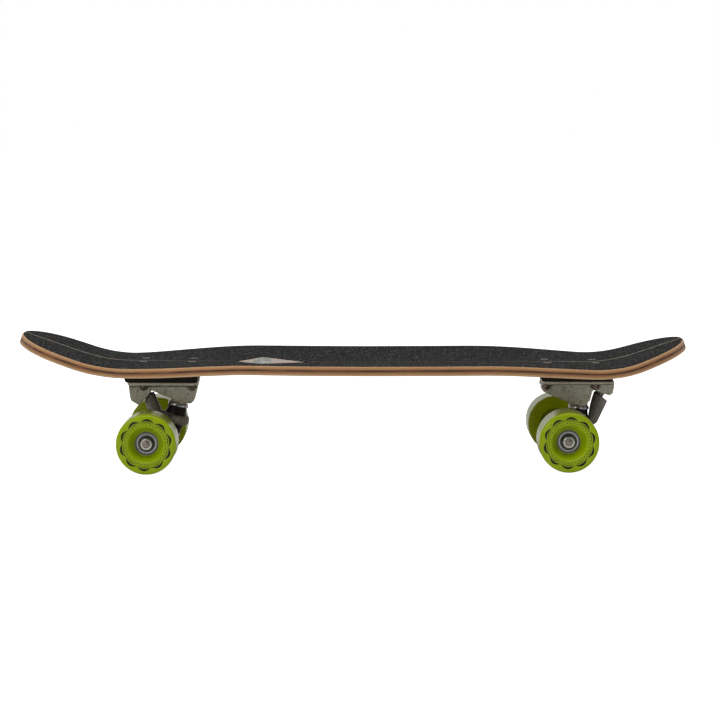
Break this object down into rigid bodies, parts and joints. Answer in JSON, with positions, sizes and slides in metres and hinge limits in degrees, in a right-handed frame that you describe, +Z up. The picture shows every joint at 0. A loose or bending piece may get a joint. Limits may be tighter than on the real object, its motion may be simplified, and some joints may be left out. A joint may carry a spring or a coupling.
{
  "type": "skateboard",
  "caption": "Surf-style skateboard: kicked, concave plywood deck with split grip sheet, riser pads, bushing-steered carving trucks and wide soft wheels on ball bearings.",
  "frame": {"origin": "middle of the bounding box at ground level, under the board", "axes": "+X towards the tail, +Y towards the rider's right, +Z up; the four wheels stand on z = 0"},
  "size_m": [0.7403, 0.2504, 0.1463],
  "materials": {
    "light_ply": "clear-coated maple edge and faces",
    "dark_ply": "dark-dyed veneer",
    "grip": "coarse black grit sheet",
    "riser": "black moulded plastic",
    "black_steel": "blackened steel",
    "gunmetal": "cast aluminium, gunmetal coat",
    "dark_metal": "cast aluminium, darker gunmetal coat",
    "black_urethane": "black urethane",
    "zinc_steel": "zinc-plated steel",
    "bright_steel": "bright plated steel",
    "bearing_steel": "ground steel",
    "shield_black": "dark seal",
    "core_plastic": "grey core",
    "green_urethane": "lime green urethane"
  },
  "bodies": {
    "board": {"deck_upper_plies": "light_ply", "deck_core_ply": "dark_ply", "deck_lower_plies": "light_ply", "grip_tape_left": "grip", "grip_tape_right": "grip", "front_riser_pad": "riser", "front_truck_bolts": "black_steel", "front_truck_bolt_nuts": "black_steel", "front_baseplate": "gunmetal", "front_pivot_cup": "black_urethane", "front_kingpin": "zinc_steel", "front_kingpin_nut": "zinc_steel", "front_upper_bushing": "black_urethane", "front_lower_bushing": "black_urethane", "front_upper_cup_washer": "bright_steel", "front_lower_washer": "bright_steel", "rear_riser_pad": "riser", "rear_truck_bolts": "black_steel", "rear_truck_bolt_nuts": "black_steel", "rear_baseplate": "gunmetal", "rear_pivot_cup": "black_urethane", "rear_kingpin": "zinc_steel", "rear_kingpin_nut": "zinc_steel", "rear_upper_bushing": "black_urethane", "rear_lower_bushing": "black_urethane", "rear_upper_cup_washer": "bright_steel", "rear_lower_washer": "bright_steel"},
    "front_hanger_body": {"front_hanger": "dark_metal", "front_axle": "zinc_steel", "front_axle_nuts": "zinc_steel", "front_speed_washers": "zinc_steel", "front_bearing_inner_rings": "bearing_steel", "front_bearing_spacers": "zinc_steel"},
    "rear_hanger_body": {"rear_hanger": "dark_metal", "rear_axle": "zinc_steel", "rear_axle_nuts": "zinc_steel", "rear_speed_washers": "zinc_steel", "rear_bearing_inner_rings": "bearing_steel", "rear_bearing_spacers": "zinc_steel"},
    "front_left_wheel_body": {"front_left_wheel": "green_urethane", "front_left_wheel_core": "core_plastic", "front_left_bearing_outer_rings": "bearing_steel", "front_left_bearing_shields": "shield_black"},
    "front_left_ball_set": {"front_left_bearing_balls": "bearing_steel"},
    "front_right_wheel_body": {"front_right_wheel": "green_urethane", "front_right_wheel_core": "core_plastic", "front_right_bearing_outer_rings": "bearing_steel", "front_right_bearing_shields": "shield_black"},
    "front_right_ball_set": {"front_right_bearing_balls": "bearing_steel"},
    "rear_left_wheel_body": {"rear_left_wheel": "green_urethane", "rear_left_wheel_core": "core_plastic", "rear_left_bearing_outer_rings": "bearing_steel", "rear_left_bearing_shields": "shield_black"},
    "rear_left_ball_set": {"rear_left_bearing_balls": "bearing_steel"},
    "rear_right_wheel_body": {"rear_right_wheel": "green_urethane", "rear_right_wheel_core": "core_plastic", "rear_right_bearing_outer_rings": "bearing_steel", "rear_right_bearing_shields": "shield_black"},
    "rear_right_ball_set": {"rear_right_bearing_balls": "bearing_steel"}
  },
  "joints": [
    {"name": "front_hanger_tilt", "type": "hinge", "parent": "board", "child": "front_hanger_body", "pos_m": [-0.19966, 0, 0.04852], "axis": [-0.7486, 0, 0.663], "range_deg": [-20, 20], "stiffness_Nm_per_rad": 60, "deforming": ["front_upper_bushing", "front_lower_bushing"]},
    {"name": "front_left_wheel_spin", "type": "hinge", "parent": "front_hanger_body", "child": "front_left_wheel_body", "pos_m": [-0.22318, -0.0873, 0.0325], "axis": [0, 1, 0], "continuous": true},
    {"name": "front_left_ball_orbit", "type": "hinge", "parent": "front_hanger_body", "child": "front_left_ball_set", "pos_m": [-0.22318, -0.0873, 0.0325], "axis": [0, 1, 0], "continuous": true},
    {"name": "front_right_wheel_spin", "type": "hinge", "parent": "front_hanger_body", "child": "front_right_wheel_body", "pos_m": [-0.22318, 0.0873, 0.0325], "axis": [0, 1, 0], "continuous": true},
    {"name": "front_right_ball_orbit", "type": "hinge", "parent": "front_hanger_body", "child": "front_right_ball_set", "pos_m": [-0.22318, 0.0873, 0.0325], "axis": [0, 1, 0], "continuous": true},
    {"name": "rear_hanger_tilt", "type": "hinge", "parent": "board", "child": "rear_hanger_body", "pos_m": [0.25011, 0, 0.04297], "axis": [0.6202, 0, 0.7845], "range_deg": [-20, 20], "stiffness_Nm_per_rad": 60, "deforming": ["rear_upper_bushing", "rear_lower_bushing"]},
    {"name": "rear_left_wheel_spin", "type": "hinge", "parent": "rear_hanger_body", "child": "rear_left_wheel_body", "pos_m": [0.23213, -0.0873, 0.0325], "axis": [0, 1, 0], "continuous": true},
    {"name": "rear_left_ball_orbit", "type": "hinge", "parent": "rear_hanger_body", "child": "rear_left_ball_set", "pos_m": [0.23213, -0.0873, 0.0325], "axis": [0, 1, 0], "continuous": true},
    {"name": "rear_right_wheel_spin", "type": "hinge", "parent": "rear_hanger_body", "child": "rear_right_wheel_body", "pos_m": [0.23213, 0.0873, 0.0325], "axis": [0, 1, 0], "continuous": true},
    {"name": "rear_right_ball_orbit", "type": "hinge", "parent": "rear_hanger_body", "child": "rear_right_ball_set", "pos_m": [0.23213, 0.0873, 0.0325], "axis": [0, 1, 0], "continuous": true}
  ],
  "couplings": [
    {"joint": "front_left_ball_orbit", "follows": "front_left_wheel_spin", "ratio": 0.6323},
    {"joint": "front_right_ball_orbit", "follows": "front_right_wheel_spin", "ratio": 0.6323},
    {"joint": "rear_left_ball_orbit", "follows": "rear_left_wheel_spin", "ratio": 0.6323},
    {"joint": "rear_right_ball_orbit", "follows": "rear_right_wheel_spin", "ratio": 0.6323}
  ]
}
